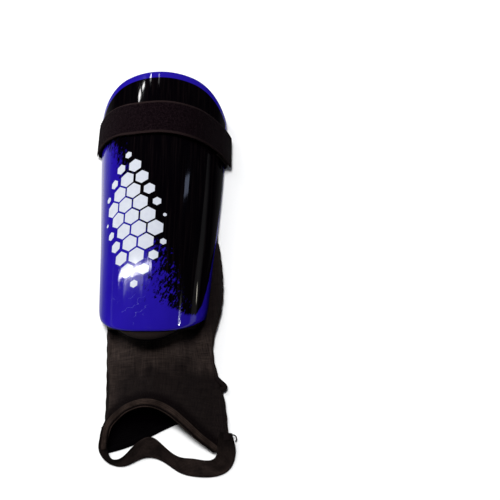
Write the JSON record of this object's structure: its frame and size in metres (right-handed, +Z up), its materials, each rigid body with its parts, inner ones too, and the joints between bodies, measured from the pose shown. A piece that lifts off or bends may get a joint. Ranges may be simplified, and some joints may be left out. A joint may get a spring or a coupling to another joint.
{
  "type": "shin guard",
  "caption": "Soccer shin guard with a curved hard front, foam backing, hook-and-loop calf strap, and an ankle sleeve with an elastic stirrup.",
  "frame": {"origin": "on the table, at the middle of the footprint of the whole guard as it lies on its back", "axes": "+Z up, out of the front of the shin; +Y towards the knee; -Y towards the foot; +X to the right as laid"},
  "size_m": [0.1269, 0.3492, 0.0525],
  "materials": {
    "printed_shell": "glossy moulded plastic, printed blue and black with white shards",
    "eva_foam": "matt closed-cell foam",
    "lining_knit": "brushed knit",
    "ribbed_elastic": "ribbed woven elastic",
    "loop_pile": "brushed loop pile",
    "hook_tape": "moulded hooks",
    "webbing": "woven tape",
    "thread": "sewing thread",
    "sleeve_knit": "fine stretch knit",
    "binding_tape": "folded stretch tape",
    "stirrup_elastic": "flat woven elastic"
  },
  "bodies": {
    "guard": {"front_shell": "printed_shell", "foam_backing": "eva_foam", "backing_lining": "lining_knit", "calf_strap_rear": "ribbed_elastic", "riser_loop_patch": "loop_pile", "strap_anchor_tab": "webbing", "sleeve_cuff": "sleeve_knit", "cuff_hem": "binding_tape"},
    "strap_front": {"band_elastic": "ribbed_elastic", "band_loop_pile": "loop_pile", "band_seam_stitching": "thread"},
    "strap_tab": {"tab_elastic": "ribbed_elastic", "tab_pile": "loop_pile", "hook_patch": "hook_tape", "tab_stitching": "thread"},
    "sleeve": {"sleeve_front_panel": "sleeve_knit", "sleeve_heel_panel": "sleeve_knit", "instep_binding": "binding_tape", "heel_binding": "binding_tape", "side_seam_left": "binding_tape", "side_seam_right": "binding_tape", "ankle_pad_left": "eva_foam", "ankle_pad_right": "eva_foam", "ankle_pad_cover_left": "lining_knit", "ankle_pad_cover_right": "lining_knit", "stirrup_tack_left": "thread", "stirrup_tack_right": "thread", "seam_end_knot": "thread"},
    "stirrup": {"stirrup_strap": "stirrup_elastic"}
  },
  "joints": [
    {"name": "strap_front_lift", "type": "hinge", "parent": "guard", "child": "strap_front", "pos_m": [-0.0634, 0.123, 0.0036], "axis": [0, -1, 0], "range_deg": [0, 100]},
    {"name": "strap_tab_peel", "type": "hinge", "parent": "strap_front", "child": "strap_tab", "pos_m": [0.04849, 0.123, 0.02888], "axis": [0, -1, 0], "range_deg": [0, 80]},
    {"name": "sleeve_flex", "type": "hinge", "parent": "guard", "child": "sleeve", "pos_m": [0.003, -0.084, 0.024], "axis": [-1, 0, 0], "range_deg": [0, 90]},
    {"name": "stirrup_swing", "type": "hinge", "parent": "sleeve", "child": "stirrup", "pos_m": [0.011, -0.145, 0.00075], "axis": [-1, 0, 0], "range_deg": [0, 90]}
  ]
}
